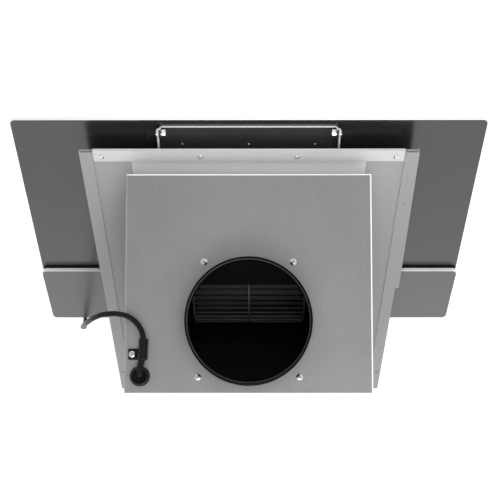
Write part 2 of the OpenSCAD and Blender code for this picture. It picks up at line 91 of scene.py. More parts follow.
def principled(name, color, metallic=0.0, roughness=0.5, ior=1.5, coat=0.0, coat_rough=0.1):
    """A new material with a Principled shader. Returns (material, nodes, links, shader)."""
    material = bpy.data.materials.new(name)
    material.use_nodes = True
    nodes, links = material.node_tree.nodes, material.node_tree.links
    shader = nodes["Principled BSDF"]
    shader.inputs["Base Color"].default_value = (*color, 1)
    shader.inputs["Metallic"].default_value = metallic
    shader.inputs["Roughness"].default_value = roughness
    shader.inputs["IOR"].default_value = ior
    shader.inputs["Coat Weight"].default_value = coat
    shader.inputs["Coat Roughness"].default_value = coat_rough
    return material, nodes, links, shader


def noise_at(nodes, links, scale, stretch=(1, 1, 1), detail=4.0, rough=0.55):
    """Noise in the row frame, in cells per metre, stretched per axis."""
    place = nodes.new("ShaderNodeTexCoord")
    mapping = nodes.new("ShaderNodeMapping")
    mapping.inputs["Scale"].default_value = stretch
    texture = nodes.new("ShaderNodeTexNoise")
    texture.inputs["Scale"].default_value = scale
    texture.inputs["Detail"].default_value = detail
    texture.inputs["Roughness"].default_value = rough
    links.new(place.outputs["Object"], mapping.inputs["Vector"])
    links.new(mapping.outputs["Vector"], texture.inputs["Vector"])
    return texture.outputs["Fac"]


def spread(nodes, links, value, low, high):
    """Maps the middle of a noise value to low..high."""
    ramp = nodes.new("ShaderNodeMapRange")
    ramp.inputs["From Min"].default_value = NOISE_LOW
    ramp.inputs["From Max"].default_value = NOISE_HIGH
    ramp.inputs["To Min"].default_value = low
    ramp.inputs["To Max"].default_value = high
    links.new(value, ramp.inputs["Value"])
    return ramp.outputs["Result"]


def tint(nodes, links, shader, value, color, low, high):
    """Base colour from dark to light by a noise value."""
    mix = nodes.new("ShaderNodeMix")
    mix.data_type = "RGBA"
    mix.inputs["A"].default_value = (*[c * low for c in color], 1)
    mix.inputs["B"].default_value = (*[min(1, c * high) for c in color], 1)
    links.new(value, mix.inputs["Factor"])
    links.new(mix.outputs["Result"], shader.inputs["Base Color"])


def bump(nodes, links, shader, value, distance, strength=1.0):
    node = nodes.new("ShaderNodeBump")
    node.inputs["Distance"].default_value = distance
    node.inputs["Strength"].default_value = strength
    links.new(value, node.inputs["Height"])
    links.new(node.outputs["Normal"], shader.inputs["Normal"])


def sheet_steel(name, color, stretch, metallic, rough, contrast=(0.94, 1.04)):
    """Zinc-coated or stainless sheet: a rolled grain along one axis and faint clouding."""
    material, nodes, links, shader = principled(name, color, metallic, 0.4)
    grain = noise_at(nodes, links, 1.0, stretch, 5.0, 0.65)
    clouds = noise_at(nodes, links, 14.0, (1, 1, 1), 3.0)
    both = nodes.new("ShaderNodeMath")
    both.operation = "MULTIPLY_ADD"
    both.inputs[1].default_value = GRAIN_SHARE
    links.new(grain, both.inputs[0])
    part = nodes.new("ShaderNodeMath")
    part.operation = "MULTIPLY"
    part.inputs[1].default_value = CLOUD_SHARE
    links.new(clouds, part.inputs[0])
    links.new(part.outputs[0], both.inputs[2])
    level = spread(nodes, links, both.outputs[0], 0.0, 1.0)
    tint(nodes, links, shader, level, color, *contrast)
    links.new(spread(nodes, links, both.outputs[0], *rough), shader.inputs["Roughness"])
    bump(nodes, links, shader, grain, 0.00002, 0.5)
    return material


def coated(name, color, rough, grain_scale, depth, vary=0.25, specular=0.5):
    """Paint, moulded plastic or rubber: a fine surface grain and uneven gloss."""
    material, nodes, links, shader = principled(name, color, 0.0, rough)
    shader.inputs["Specular IOR Level"].default_value = specular
    fine = noise_at(nodes, links, grain_scale, (1, 1, 1), 3.0)
    wide = noise_at(nodes, links, 30.0, (1, 1, 1), 4.0)
    tint(nodes, links, shader, wide, color, 1 - vary, 1 + vary)
    links.new(spread(nodes, links, wide, rough * 0.85, min(1.0, rough * 1.15)), shader.inputs["Roughness"])
    bump(nodes, links, shader, fine, depth, 0.6)
    return material


def plain_metal(name, color, rough, scale=300.0, depth=0.00001):
    """Plated or machined metal with fine tool marks."""
    material, nodes, links, shader = principled(name, color, 1.0, rough)
    marks = noise_at(nodes, links, scale, (1, 1, 1), 4.0)
    tint(nodes, links, shader, marks, color, 0.88, 1.08)
    links.new(spread(nodes, links, marks, rough * 0.75, rough * 1.3), shader.inputs["Roughness"])
    bump(nodes, links, shader, marks, depth, 0.5)
    return material


def dark_glass(name, color, rough):
    """Tempered glass printed black on one side: deep, glossy, with faint wipe marks."""
    material, nodes, links, shader = principled(name, color, 0.0, 0.22, 1.95)
    wipes = noise_at(nodes, links, 6.0, (1, 3, 3), 5.0)
    links.new(spread(nodes, links, wipes, *rough), shader.inputs["Roughness"])
    tint(nodes, links, shader, wipes, color, 0.8, 1.25)
    return material


def glass_edge(name):
    """Ground and polished rim of the glass, which scatters the light inside it."""
    material, nodes, links, shader = principled(name, RIM_COLOR, 0.0, 0.25, 1.5, 0.5)
    ground = noise_at(nodes, links, 900.0, (1, 1, 1), 2.0)
    tint(nodes, links, shader, ground, RIM_COLOR, 0.93, 1.06)
    bump(nodes, links, shader, ground, 0.00001, 0.4)
    return material


def lit_lens(name):
    """Frosted lamp lens."""
    material, nodes, links, shader = principled(name, LENS_COLOR, 0.0, 0.35, 1.5, 0.3)
    shader.inputs["Transmission Weight"].default_value = 0.35
    ripple = noise_at(nodes, links, 700.0, (1, 1, 1), 2.0)
    tint(nodes, links, shader, ripple, LENS_COLOR, 0.95, 1.03)
    bump(nodes, links, shader, ripple, 0.00004, 0.5)
    return material


MATERIALS = {
    "plate_steel": sheet_steel("plate_steel", (0.435, 0.437, 0.44), (1100, 70, 90), 0.8, (0.38, 0.48),
                               (0.90, 1.07)),
    "galvanised_steel": sheet_steel("galvanised_steel", (0.33, 0.333, 0.336), (500, 90, 60), 0.15,
                                    (0.46, 0.6)),
    # A lighter copy of the zinc sheet: painted light for the upper parts, which catch more light.
    "painted_light_zinc": sheet_steel("painted_light_zinc", (0.61, 0.615, 0.62), (90, 500, 500), 0.2, (0.4, 0.52)),
    # Near-white steel that is used only as a painted highlight on folds and edges.
    "painted_highlight_steel": sheet_steel("painted_highlight_steel", (0.95, 0.95, 0.955), (400, 90, 90), 0.1, (0.42, 0.5)),
    "bright_steel": plain_metal("bright_steel", (0.86, 0.86, 0.87), 0.22),
    "aluminium": plain_metal("aluminium", (0.80, 0.81, 0.82), 0.34, 500.0, 0.00002),
    "black_plastic": coated("black_plastic", (0.007, 0.007, 0.0075), 0.42, 1500.0, 0.00004, specular=0.16),
    "deep_black": coated("deep_black", (0.005, 0.005, 0.0055), 0.6, 900.0, 0.00003, specular=0.08),
    "bead_highlight_plastic": coated("bead_highlight_plastic", (0.03, 0.03, 0.031), 0.3, 1500.0, 0.00002, specular=0.4),
    "satin_black": coated("satin_black", (0.035, 0.035, 0.037), 0.42, 1100.0, 0.00003),
    "fan_plastic": coated("fan_plastic", (0.035, 0.035, 0.037), 0.5, 900.0, 0.00003, vary=0.12,
                          specular=0.35),
    "black_steel": coated("black_steel", (0.015, 0.015, 0.016), 0.38, 1100.0, 0.00003),
    "white_plastic": coated("white_plastic", (0.82, 0.82, 0.79), 0.4, 900.0, 0.00003, vary=0.04),
    "circuit_board": coated("circuit_board", (0.02, 0.12, 0.06), 0.35, 500.0, 0.00003),
    "smoked_glass": dark_glass("smoked_glass", (0.014, 0.0145, 0.015), (0.19, 0.26)),
    "lower_smoked_glass": dark_glass("lower_smoked_glass", (0.050, 0.0505, 0.051), (0.30, 0.36)),
    "glass_rim": glass_edge("glass_rim"),
    "lens": lit_lens("lens"),
    "motor_iron": coated("motor_iron", (0.035, 0.035, 0.037), 0.45, 500.0, 0.00004),
    "bronze": plain_metal("bronze", (0.62, 0.48, 0.24), 0.38),
    "cord_pvc": coated("cord_pvc", (0.007, 0.007, 0.008), 0.42, 1200.0, 0.00003, specular=0.14),
    "magnet_rubber": coated("magnet_rubber", (0.02, 0.02, 0.02), 0.7, 800.0, 0.00005),
    "print_grey": coated("print_grey", (0.55, 0.56, 0.57), 0.4, 900.0, 0.00001, vary=0.05),
}

# ---- helpers for pieces ----

WELD_DISTANCE = 0.000002
FLAT_ANGLE = math.radians(0.4)


def add_piece(name, mesh, body, materials, nodes=()):
    """Links a mesh as a piece that rides on a body and stands for the named CAD nodes."""
    for material in materials:
        mesh.materials.append(MATERIALS[material])
    piece = bpy.data.objects.new(name, mesh)
    bpy.context.scene.collection.objects.link(piece)
    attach(piece, body)
    if nodes:
        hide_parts(*nodes)
    return piece


def soften(piece, width, segments=2, angle=35.0):
    """Rounds the edges and shades smooth over curved faces."""
    mesh = piece.data
    mesh.polygons.foreach_set("use_smooth", [True] * len(mesh.polygons))
    mesh.update()
    if width:
        edge = piece.modifiers.new("edges", "BEVEL")
        edge.width = width
        edge.segments = segments
        edge.limit_method = "ANGLE"
        edge.angle_limit = math.radians(angle)
        edge.use_clamp_overlap = True
        edge.miter_outer = "MITER_ARC"
    else:
        mesh.set_sharp_from_angle(angle=math.radians(angle))
    even = piece.modifiers.new("normals", "WEIGHTED_NORMAL")
    even.mode = "FACE_AREA"
    even.weight = 100
    even.keep_sharp = True
    return piece


def copy_mesh(node):
    """The node's mesh welded, with its flat faces joined up."""
    mesh = bpy.data.meshes.new("look_" + node)
    bm = bmesh.new()
    bm.from_mesh(frame["nodes"][node].data)
    bmesh.ops.remove_doubles(bm, verts=bm.verts, dist=WELD_DISTANCE)
    bmesh.ops.dissolve_limit(bm, angle_limit=FLAT_ANGLE, verts=bm.verts, edges=bm.edges)
    bm.normal_update()
    bm.to_mesh(mesh)
    bm.free()
    return mesh


def refined(node, width=0.0003, material=None, segments=2, angle=35.0):
    """A piece in place of a CAD node: the same shape with rounded edges and smooth curves."""
    slot = SLOT_OF[node]
    piece = add_piece("look_" + node, copy_mesh(node), BODY_OF[node], [material or slot], [node])
    return soften(piece, width, segments, angle)


def paint_faces(piece, material, test):
    """Gives the faces that pass the test a second material."""
    piece.data.materials.append(MATERIALS[material])
    index = len(piece.data.materials) - 1
    for face in piece.data.polygons:
        if test(face):
            face.material_index = index


def mesh_of(name, points, faces):
    mesh = bpy.data.meshes.new(name)
    mesh.from_pydata(points, [], faces)
    mesh.update()
    return mesh


def joined(name, parts):
    """One mesh from several (points, faces) parts."""
    points, faces = [], []
    for part_points, part_faces in parts:
        start = len(points)
        points += part_points
        faces += [[i + start for i in face] for face in part_faces]
    return mesh_of(name, points, faces)


def lathe(profile, segments, place=None, closed=True):
    """Turns a profile of (radius, height) pairs about Z, then puts it in place."""
    place = place or Matrix.Identity(4)
    n = len(profile)
    points = []
    for s in range(segments):
        a = 2 * math.pi * s / segments
        points += [place @ Vector((r * math.cos(a), r * math.sin(a), z)) for r, z in profile]
    faces = []
    for s in range(segments):
        t = (s + 1) % segments
        for i in range(n if closed else n - 1):
            j = (i + 1) % n
            faces.append([s * n + i, t * n + i, t * n + j, s * n + j])
    if not closed:
        faces.append([s * n for s in range(segments - 1, -1, -1)])
        faces.append([s * n + n - 1 for s in range(segments)])
    return points, faces


def tube_along(points, radius, sides=8):
    """A round tube through the points, closed at both ends. radius is a number or one for each point."""
    radii = radius if isinstance(radius, list) else [radius] * len(points)
    ring, faces = [], []
    heading = (points[1] - points[0]).normalized()
    across = heading.orthogonal().normalized()
    for i, p in enumerate(points):
        ahead = points[min(i + 1, len(points) - 1)] - points[max(i - 1, 0)]
        ahead.normalize()
        across = (across - across.dot(ahead) * ahead).normalized()
        other = ahead.cross(across)
        for s in range(sides):
            a = 2 * math.pi * s / sides
            ring.append(p + radii[i] * (math.cos(a) * across + math.sin(a) * other))
    for i in range(len(points) - 1):
        for s in range(sides):
            t = (s + 1) % sides
            faces.append([i * sides + s, i * sides + t, (i + 1) * sides + t, (i + 1) * sides + s])
    last = (len(points) - 1) * sides
    faces.append(list(range(sides - 1, -1, -1)))
    faces.append([last + s for s in range(sides)])
    return ring, faces


def prism(outline, place, z0, z1):
    """An outline of (x, y) pairs extruded from z0 to z1, then put in place."""
    n = len(outline)
    points = [place @ Vector((x, y, z)) for z in (z0, z1) for x, y in outline]
    faces = [list(range(n - 1, -1, -1)), list(range(n, 2 * n))]
    faces += [[i, (i + 1) % n, n + (i + 1) % n, n + i] for i in range(n)]
    return points, faces


def smooth_line(points, steps=12):
    """A Catmull-Rom curve through the points."""
    line = []
    last = len(points) - 1
    for i in range(last):
        a, b = points[max(0, i - 1)], points[i]
        c, d = points[i + 1], points[min(last, i + 2)]
        for j in range(steps):
            t = j / steps
            line.append(0.5 * ((2 * b) + (c - a) * t + (2 * a - 5 * b + 4 * c - d) * t * t
                               + (3 * b - a - 3 * c + d) * t ** 3))
    line.append(points[last])
    return line


# ---- mains lead ----

CORD_D = 0.0065
PLATE_TOP = 0.060
GLAND_X = 0.130
GLAND_Y = -0.020
CLAMP_X = 0.1255

# Sleeve on the lead: radius at the gland, how much thinner its far end is, and height of a rib
SLEEVE_R = 0.0041
SLEEVE_TAPER = 0.0006
SLEEVE_RIB = 0.0002

# Clamp: half width of its outside and of its bore, and how far above the plate each arch is centred
SADDLE_HALF = 0.0054
SADDLE_CENTRE = 0.0072
BORE_HALF = 0.0044
BORE_CENTRE = 0.0080
SADDLE_STEPS = 14

# Places along the saddle as (y, flare) pairs, where flare is added to its half width
SADDLE_STATIONS = [(-0.0640, 0.0004), (-0.0632, 0.0), (-0.0440, 0.0), (-0.0432, 0.0004),
                   (-0.0402, 0.0005), (-0.0392, 0.0)]
TAB_Y = (-0.0527, -0.0397)
TAB_T = 0.0025
TAB_CORNER = 0.0012
TAB_OVERLAP = 0.0002
SEAM = 0.0001

# Plug: its grip is a run of stepped rings, each a little wider than the last
GRIP_RINGS = 5
GRIP_START = 0.002
GRIP_STEP = 0.0034
GRIP_GROWTH = 0.0005
PIN_SPREAD = 0.0095

LEAD = [
    (0.129, -0.031, 0.068), (0.1265, -0.042, 0.068), (0.1255, -0.052, 0.068),
    (0.1255, -0.063, 0.068), (0.127, -0.072, 0.068), (0.1312, -0.0802, 0.068),
    (0.138, -0.0874, 0.068), (0.147, -0.0922, 0.0678), (0.1575, -0.0943, 0.0666),
    (0.167, -0.0944, 0.064), (0.1765, -0.0936, 0.0589), (0.1845, -0.0917, 0.0514),
    (0.191, -0.0898, 0.042), (0.200, -0.0874, 0.020), (0.210, -0.0856, -0.014),
    (0.220, -0.0858, -0.060), (0.229, -0.088, -0.110), (0.237, -0.0905, -0.160),
    (0.245, -0.0933, -0.210), (0.253, -0.096, -0.260), (0.262, -0.099, -0.315),
    (0.2675, -0.104, -0.346), (0.270, -0.114, -0.364), (0.2705, -0.128, -0.373),
    (0.268, -0.144, -0.375), (0.262, -0.158, -0.3752), (0.2565, -0.171, -0.3752),
    (0.2543, -0.185, -0.3752),
]
TAIL = [
    (0.2546, -0.197, -0.3686), (0.2546, -0.207, -0.3698), (0.2544, -0.217, -0.3716),
    (0.254, -0.228, -0.373), (0.2528, -0.239, -0.3723), (0.2506, -0.251, -0.3686),
    (0.2484, -0.263, -0.3636), (0.247, -0.274, -0.360),
]
COIL_AT = (0.215, -0.185)
COIL_OUTER = 0.03935
COIL_MIDDLE = 0.036
COIL_INNER = 0.0327
COIL_LOW = -0.3752
COIL_TURNS = 3
COIL_POINTS = 18


def ease(value, start, length):
    t = min(1.0, max(0.0, (value - start) / length))
    return t * t * (3 - 2 * t)


def coil_point(degrees):
    """First turn outside, second inside it, third on top of both."""
    radius = COIL_OUTER + (COIL_INNER - COIL_OUTER) * ease(degrees, 285, 75)
    radius += (COIL_MIDDLE - COIL_INNER) * ease(degrees, 735, 60)
    radius += (COIL_OUTER - COIL_MIDDLE) * ease(degrees, 930, 50)
    height = COIL_LOW + CORD_D * ease(degrees, 600, 60)
    a = math.radians(degrees)
    return Vector((COIL_AT[0] + radius * math.cos(a), COIL_AT[1] - radius * math.sin(a), height))


def cord_route():
    step = 360 / COIL_POINTS
    turns = [coil_point(step * i) for i in range(1, COIL_TURNS * COIL_POINTS + 1)]
    return [Vector(p) for p in LEAD] + turns + [Vector(p) for p in TAIL]


CORD_LINE = smooth_line(cord_route(), 8)


def make_cord():
    curve = bpy.data.curves.new("mains_lead", "CURVE")
    curve.dimensions = "3D"
    curve.bevel_depth = CORD_D / 2
    curve.bevel_resolution = 6
    curve.use_fill_caps = True
    spline = curve.splines.new("POLY")
    spline.points.add(len(CORD_LINE) - 1)
    for point, place in zip(spline.points, CORD_LINE):
        point.co = (*place, 1)
    spline.use_smooth = True
    curve.materials.append(MATERIALS["cord_pvc"])
    cord = bpy.data.objects.new("mains_lead", curve)
    bpy.context.scene.collection.objects.link(cord)
    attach(cord, "hood")
    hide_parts("power_cord", "cord_coil", "cord_tail")
    return cord


def make_strain_relief():
    """Ribbed sleeve that rises from the middle of the gland and runs through the clamp."""
    foot = Vector((GLAND_X, GLAND_Y, PLATE_TOP + 0.0040))
    bend = Vector((GLAND_X - 0.0001, GLAND_Y - 0.0016, PLATE_TOP + 0.0072))
    line = smooth_line([foot, bend] + [Vector(p) for p in LEAD[:4]], 10)
    radii = []
    for i in range(len(line)):
        share = i / (len(line) - 1)
        rib = SLEEVE_RIB if i % 3 == 0 and i < len(line) - 2 else 0.0
        radii.append(SLEEVE_R - SLEEVE_TAPER * share + rib)
    points, faces = tube_along(line, radii, 24)
    piece = add_piece("strain_relief", mesh_of("strain_relief", points, faces), "hood",
                      ["black_plastic"])
    return soften(piece, 0, angle=50)


def make_gland():
    """Gland with a thin collar, a domed nut with a dished top, and its thread under the plate."""
    place = Matrix.Translation((GLAND_X, GLAND_Y, PLATE_TOP))
    profile = [(0.0045, -0.0100), (0.0085, -0.0100), (0.0089, -0.0094), (0.0089, 0.0001), (0.0116, 0.0001),
               (0.0120, 0.0006), (0.0120, 0.0019), (0.0115, 0.0025), (0.0108, 0.0028), (0.0107, 0.0072),
               (0.0101, 0.0088), (0.0091, 0.0095), (0.0083, 0.0092), (0.0077, 0.0080), (0.0072, 0.0062),
               (0.0062, 0.0054), (0.0045, 0.0052)]
    piece = add_piece("gland_nut", mesh_of("gland_nut", *lathe(profile, 64, place)), "hood",
                      ["black_plastic"], ["cord_gland"])
    return soften(piece, 0, angle=28)


def saddle_section(flare):
    """Cross-section of the saddle as (across, height) pairs: over the outside, back along the bore."""
    half = SADDLE_HALF + flare
    outer = [(half, SEAM)]
    inner = [(BORE_HALF, SEAM)]
    for i in range(SADDLE_STEPS + 1):
        a = math.pi * i / SADDLE_STEPS
        outer.append((half * math.cos(a), SADDLE_CENTRE + half * math.sin(a)))
        inner.append((BORE_HALF * math.cos(a), BORE_CENTRE + BORE_HALF * math.sin(a)))
    outer.append((-half, SEAM))
    inner.append((-BORE_HALF, SEAM))
    return outer + inner[::-1]


def make_saddle():
    """The arch over the lead as (points, faces). It follows the lead and flares at both ends."""
    line = smooth_line([Vector(p) for p in LEAD[:5]], 12)
    points, faces = [], []
    for y, flare in SADDLE_STATIONS:
        centre = min(line, key=lambda p: abs(p.y - y)).x
        points += [Vector((centre + x, y, PLATE_TOP + z)) for x, z in saddle_section(flare)]
    count = len(points) // len(SADDLE_STATIONS)
    last = len(points) - count
    for start in range(0, last, count):
        for i in range(count):
            j = (i + 1) % count
            faces.append([start + i, start + j, start + count + j, start + count + i])
    for i in range(count // 2 - 1):
        j = count - 1 - i
        faces.append([i, j, j - 1, i + 1])
        faces.append([last + i + 1, last + j - 1, last + j, last + i])
    return points, faces


def rounded_outline(x0, x1, y0, y1, corner):
    """A rectangle with rounded corners as (x, y) pairs."""
    outline = []
    for cx, cy, start in ((x1 - corner, y0 + corner, -90), (x1 - corner, y1 - corner, 0),
                          (x0 + corner, y1 - corner, 90), (x0 + corner, y0 + corner, 180)):
        for i in range(5):
            a = math.radians(start + 22.5 * i)
            outline.append((cx + corner * math.cos(a), cy + corner * math.sin(a)))
    return outline


def make_clamp():
    """Saddle bent over the lead, with a screwed tab at its side."""
    tab_start = CLAMP_X + SADDLE_HALF - TAB_OVERLAP
    tab_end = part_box("cord_clamp")[1].x
    tab = rounded_outline(tab_start, tab_end, *TAB_Y, TAB_CORNER)
    parts = [make_saddle(), prism(tab, Matrix.Translation((0, 0, PLATE_TOP)), SEAM, TAB_T)]
    piece = add_piece("clamp_saddle", joined("clamp_saddle", parts), "hood",
                      ["black_plastic"], ["cord_clamp"])
    return soften(piece, 0.0003, angle=35)


def plug_profile(length, width):
    """Half section of the plug as (radius, distance) pairs: grip, shoulder, then the rimmed face."""
    profile = [(0.0034, 0.0), (0.0048, 0.0)]
    for i in range(GRIP_RINGS):
        z = GRIP_START + i * GRIP_STEP
        grow = i * GRIP_GROWTH
        profile += [(0.0052 + grow, z), (0.0052 + grow, z + 0.0017),
                    (0.0046 + grow, z + 0.0019), (0.0046 + grow, z + 0.0032)]
    profile += [(0.0085, 0.0205), (0.0115, 0.0215), (0.0135, 0.0245), (0.0158, 0.0300),
                (width - 0.0006, 0.0330), (width, 0.0345), (width, length - 0.002),
                (width - 0.0005, length - 0.0007), (width - 0.0016, length),
                (width - 0.0036, length), (width - 0.004, length - 0.0006), (0.0034, length - 0.0006)]
    return profile


def make_plug():
    """Round moulded plug and its two pins."""
    low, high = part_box("plug_body")
    centre = Vector(((low.x + high.x) / 2, high.y, (low.z + high.z) / 2))
    place = Matrix.Translation(centre) @ Matrix.Rotation(math.radians(90), 4, "X")
    length = high.y - low.y
    width = (high.x - low.x) / 2
    points, faces = lathe(plug_profile(length, width), 64, place)
    body = add_piece("plug_shell", mesh_of("plug_shell", points, faces), "hood",
                     ["black_plastic"], ["plug_body"])
    soften(body, 0, angle=32)
    pin_low, pin_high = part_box("plug_pins")
    pin_length = pin_high.y - pin_low.y
    parts = []
    for side in (-1, 1):
        spot = Matrix.Translation(centre + Vector((side * PIN_SPREAD, -length, 0)))
        spot = spot @ Matrix.Rotation(math.radians(90), 4, "X")
        parts.append(lathe([(0.0, -0.0005), (0.0024, -0.0005), (0.0024, pin_length - 0.0026),
                            (0.0021, pin_length - 0.0012), (0.0014, pin_length - 0.0003),
                            (0.0, pin_length)], 32, spot))
    pins = add_piece("plug_contacts", joined("plug_contacts", parts), "hood",
                     ["bright_steel"], ["plug_pins"])
    soften(pins, 0, angle=32)
    return [body, pins]


cord = make_cord()
cord_pieces = [make_strain_relief(), *make_plug()]
make_gland()
make_clamp()

# ---- plain CAD shapes with rounded edges ----

for node_name, edge_width in {
    "back_panel": 0.0002, "side_panel_left": 0.0002, "side_panel_right": 0.0002,
    "edge_strip": 0.0002,
    "filter_frame": 0.0006, "filter_latch": 0.0006, "lamp_bodies": 0.0006,
    "strike_plates": 0.0002, "panel_magnets": 0.0005,
    "glass_brackets": 0.0003, "touch_board": 0.0002, "inlet_ring_left": 0.0004,
    "inlet_ring_right": 0.0004, "motor_shaft": 0.0004,
    "motor_bearings": 0.0003, "motor_bracket": 0.0003, "capacitor": 0.0006,
    "control_box": 0.0008, "control_lid": 0.0006, "terminal_block": 0.0005, "inner_lead": 0.0003,
    "strip_screws": 0.00012, "hinge_screws": 0.00015, "hinge_nuts": 0.0002,
    "arm_screws": 0.00012, "collar_screws": 0.00015, "scroll_screws": 0.00012, "clamp_screw": 0.00015,
}.items():
    refined(node_name, edge_width)


def on_fold(face):
    """The rounded faces between the flat top of the plate and its folded edges."""
    return 0.12 < face.normal.z < 0.97


# The folds carry a painted highlight in near-white steel. The fold on the +X side, away from the light,
# gets the duller galvanised steel instead: painted shade.
plate = refined("top_plate", 0.0002, "plate_steel", angle=40)
paint_faces(plate, "galvanised_steel", lambda face: on_fold(face) and face.normal.x > 0.1)
paint_faces(plate, "painted_highlight_steel", lambda face: on_fold(face) and face.normal.x < 0.1)
for node_name in ("scroll_left", "scroll_right"):
    refined(node_name, 0.0004, "deep_black")
# The top strip, the upper front wall and the hinge arms get the lighter zinc copy: painted light.
refined("frame_top_strip", 0.0002, "painted_light_zinc")
refined("side_rivets", 0.00012, "galvanised_steel")
refined("upper_front_wall", 0.0002, "painted_light_zinc")
refined("hinge_arms", 0.0003, "painted_light_zinc")
hinge = refined("hinge_plate", 0.0004, "satin_black")
# The hinge plate's faces that face forward and up get the near-white steel: a painted highlight on the
# black plate.
paint_faces(hinge, "painted_highlight_steel", lambda face: face.normal.y < -0.5 and face.normal.z > 0.5)

SLOPE = math.radians(35.2)
FRONT_NORMAL = Vector((0, -math.cos(SLOPE), -math.sin(SLOPE)))

# The faces of the frame and both trays that face forward get a black material, which darkens what the
# glass reflects of the gap behind it; their backs keep the bare sheet.
for node_name in ("front_frame", "filter_surround", "lower_fascia"):
    sheet = refined(node_name, 0.0003)
    paint_faces(sheet, "black_steel", lambda face: face.normal.dot(FRONT_NORMAL) > 0.2)

for node_name, glass in (("upper_glass", "smoked_glass"), ("lower_glass", "lower_smoked_glass")):
    pane = refined(node_name, 0.0007, glass, segments=3)
    facing = max((f.normal for f in pane.data.polygons), key=lambda n: -n.y).copy()
    paint_faces(pane, "glass_rim", lambda face: abs(face.normal.dot(facing)) < 0.5)
    pane.modifiers["edges"].material = 1

# ---- parts on the front ----

SLOPE_FOOT = -0.376
FRONT_TURN = Matrix(((1, 0, 0), (0, -math.sin(SLOPE), -math.cos(SLOPE)),
                     (0, math.cos(SLOPE), -math.sin(SLOPE)))).to_4x4()
TRAY_FACE = 0.0125
LAMP_X = 0.112
LAMP_UP = 0.092
DIODES = 6
DIODE_RING = 0.0145
FILTER_HALF = 0.1268
FILTER_LOW = 0.3047
FILTER_HIGH = 0.4353
WIRE_R = 0.0007
WIRE_WAVE = 0.0006
WEAVE_PITCH = 0.0052
WEAVE_LAYERS = ((0.0079, 1), (0.0094, -1))
SHORTEST_WIRE = 0.002
LOWER_GLASS_FACE = TRAY_FACE + 0.0062
MARK_UP = 0.223
MARK_PITCH = 0.030
MARK_T = 0.00012
MARK_HALF = 0.004
MARK_LINE = 0.0004


def on_front(x, up, out):
    """A place on the inclined front: x across, up the slope, and out from the back of the frame."""
    shift = Vector((x, -(up * math.sin(SLOPE) + out * math.cos(SLOPE)),
                    SLOPE_FOOT + up * math.cos(SLOPE) - out * math.sin(SLOPE)))
    return Matrix.Translation(shift) @ FRONT_TURN


def make_lamps():
    """Chromed rims with a rolled lip, and lenses with a stepped edge and a ring of diodes behind."""
    rims, lenses, diodes = [], [], []
    for side in (-1, 1):
        place = on_front(side * LAMP_X, LAMP_UP, TRAY_FACE)
        rims.append(lathe([(0.0272, -0.0060), (0.0288, -0.0060), (0.0288, 0.0), (0.0330, 0.0001),
                           (0.0330, 0.0005), (0.0324, 0.0011), (0.0305, 0.0015), (0.0276, 0.0016),
                           (0.0260, 0.0013), (0.0251, 0.0006), (0.0250, 0.0), (0.0272, -0.0004)],
                          96, place))
        lenses.append(lathe([(0.0, -0.0028), (0.0246, -0.0028), (0.0248, -0.0004), (0.0242, 0.0001),
                             (0.0226, 0.0003), (0.0221, -0.0001), (0.0150, 0.0002), (0.0, 0.0004)],
                            96, place))
        for i in range(DIODES):
            a = 2 * math.pi * i / DIODES
            spot = place @ Matrix.Translation((DIODE_RING * math.cos(a), DIODE_RING * math.sin(a), 0))
            diodes.append(lathe([(0.0, 0.0001), (0.0030, 0.0001), (0.0030, 0.0005), (0.0022, 0.0009),
                                 (0.0, 0.0011)], 24, spot))
    rim = add_piece("lamp_rims", joined("lamp_rims", rims), "hood", ["bright_steel"],
                    ["lamp_bezels"])
    soften(rim, 0, angle=35)
    lens = add_piece("lamp_glasses", joined("lamp_glasses", lenses + diodes), "hood", ["lens"],
                     ["lamp_lenses"])
    soften(lens, 0, angle=35)


def weave_wire(start, layer, lean, wide, tall):
    """One wavy wire across the filter, from the foot of its slant at start. None if it is too short."""
    x0, x1 = max(0.0, start), min(wide, start + tall)
    if x1 - x0 <= SHORTEST_WIRE:
        return None
    line = []
    steps = max(2, int((x1 - x0) / WEAVE_PITCH) * 2)
    for i in range(steps + 1):
        x = x0 + (x1 - x0) * i / steps
        y = x - start
        if lean < 0:
            y = tall - y
        lift = WIRE_WAVE if i % 2 else -WIRE_WAVE
        line.append(on_front(x - FILTER_HALF, FILTER_LOW + y, layer + lift).translation)
    return tube_along(line, WIRE_R, 5)


def make_filter_mesh():
    """Two crossed layers of wavy aluminium wires."""
    parts = []
    wide, tall = 2 * FILTER_HALF, FILTER_HIGH - FILTER_LOW
    for layer, lean in WEAVE_LAYERS:
        start = -tall
        while start < wide:
            wire = weave_wire(start, layer, lean, wide, tall)
            if wire:
                parts.append(wire)
            start += WEAVE_PITCH
    mesh = add_piece("filter_weave", joined("filter_weave", parts), "hood", ["aluminium"],
                     ["filter_mesh"])
    soften(mesh, 0, angle=50)


def ring_mark(place, inner, outer):
    return lathe([(inner, 0.0), (outer, 0.0), (outer, MARK_T), (inner, MARK_T)], 48, place)


def bar_mark(place, half_width, half_height):
    outline = [(-half_width, -half_height), (half_width, -half_height),
               (half_width, half_height), (-half_width, half_height)]
    return prism(outline, place, 0.0, MARK_T)


def make_touch_marks():
    """Plain printed marks on the lower glass over the touch pads: ring, minus, ringed bar, plus, ring."""
    parts = []
    for i in range(-2, 3):
        place = on_front(i * MARK_PITCH, MARK_UP, LOWER_GLASS_FACE)
        if abs(i) == 2:
            parts.append(ring_mark(place, 0.0038, 0.0045))
        else:
            parts.append(bar_mark(place, MARK_HALF, MARK_LINE))
        if i == 1:
            parts.append(bar_mark(place, MARK_LINE, MARK_HALF))
        if i == 0:
            parts.append(ring_mark(place, 0.0052, 0.0058))
    marks = add_piece("touch_marks", joined("touch_marks", parts), "hood", ["print_grey"])
    soften(marks, 0, angle=30)


make_lamps()
make_filter_mesh()
make_touch_marks()

# ---- duct collar ----

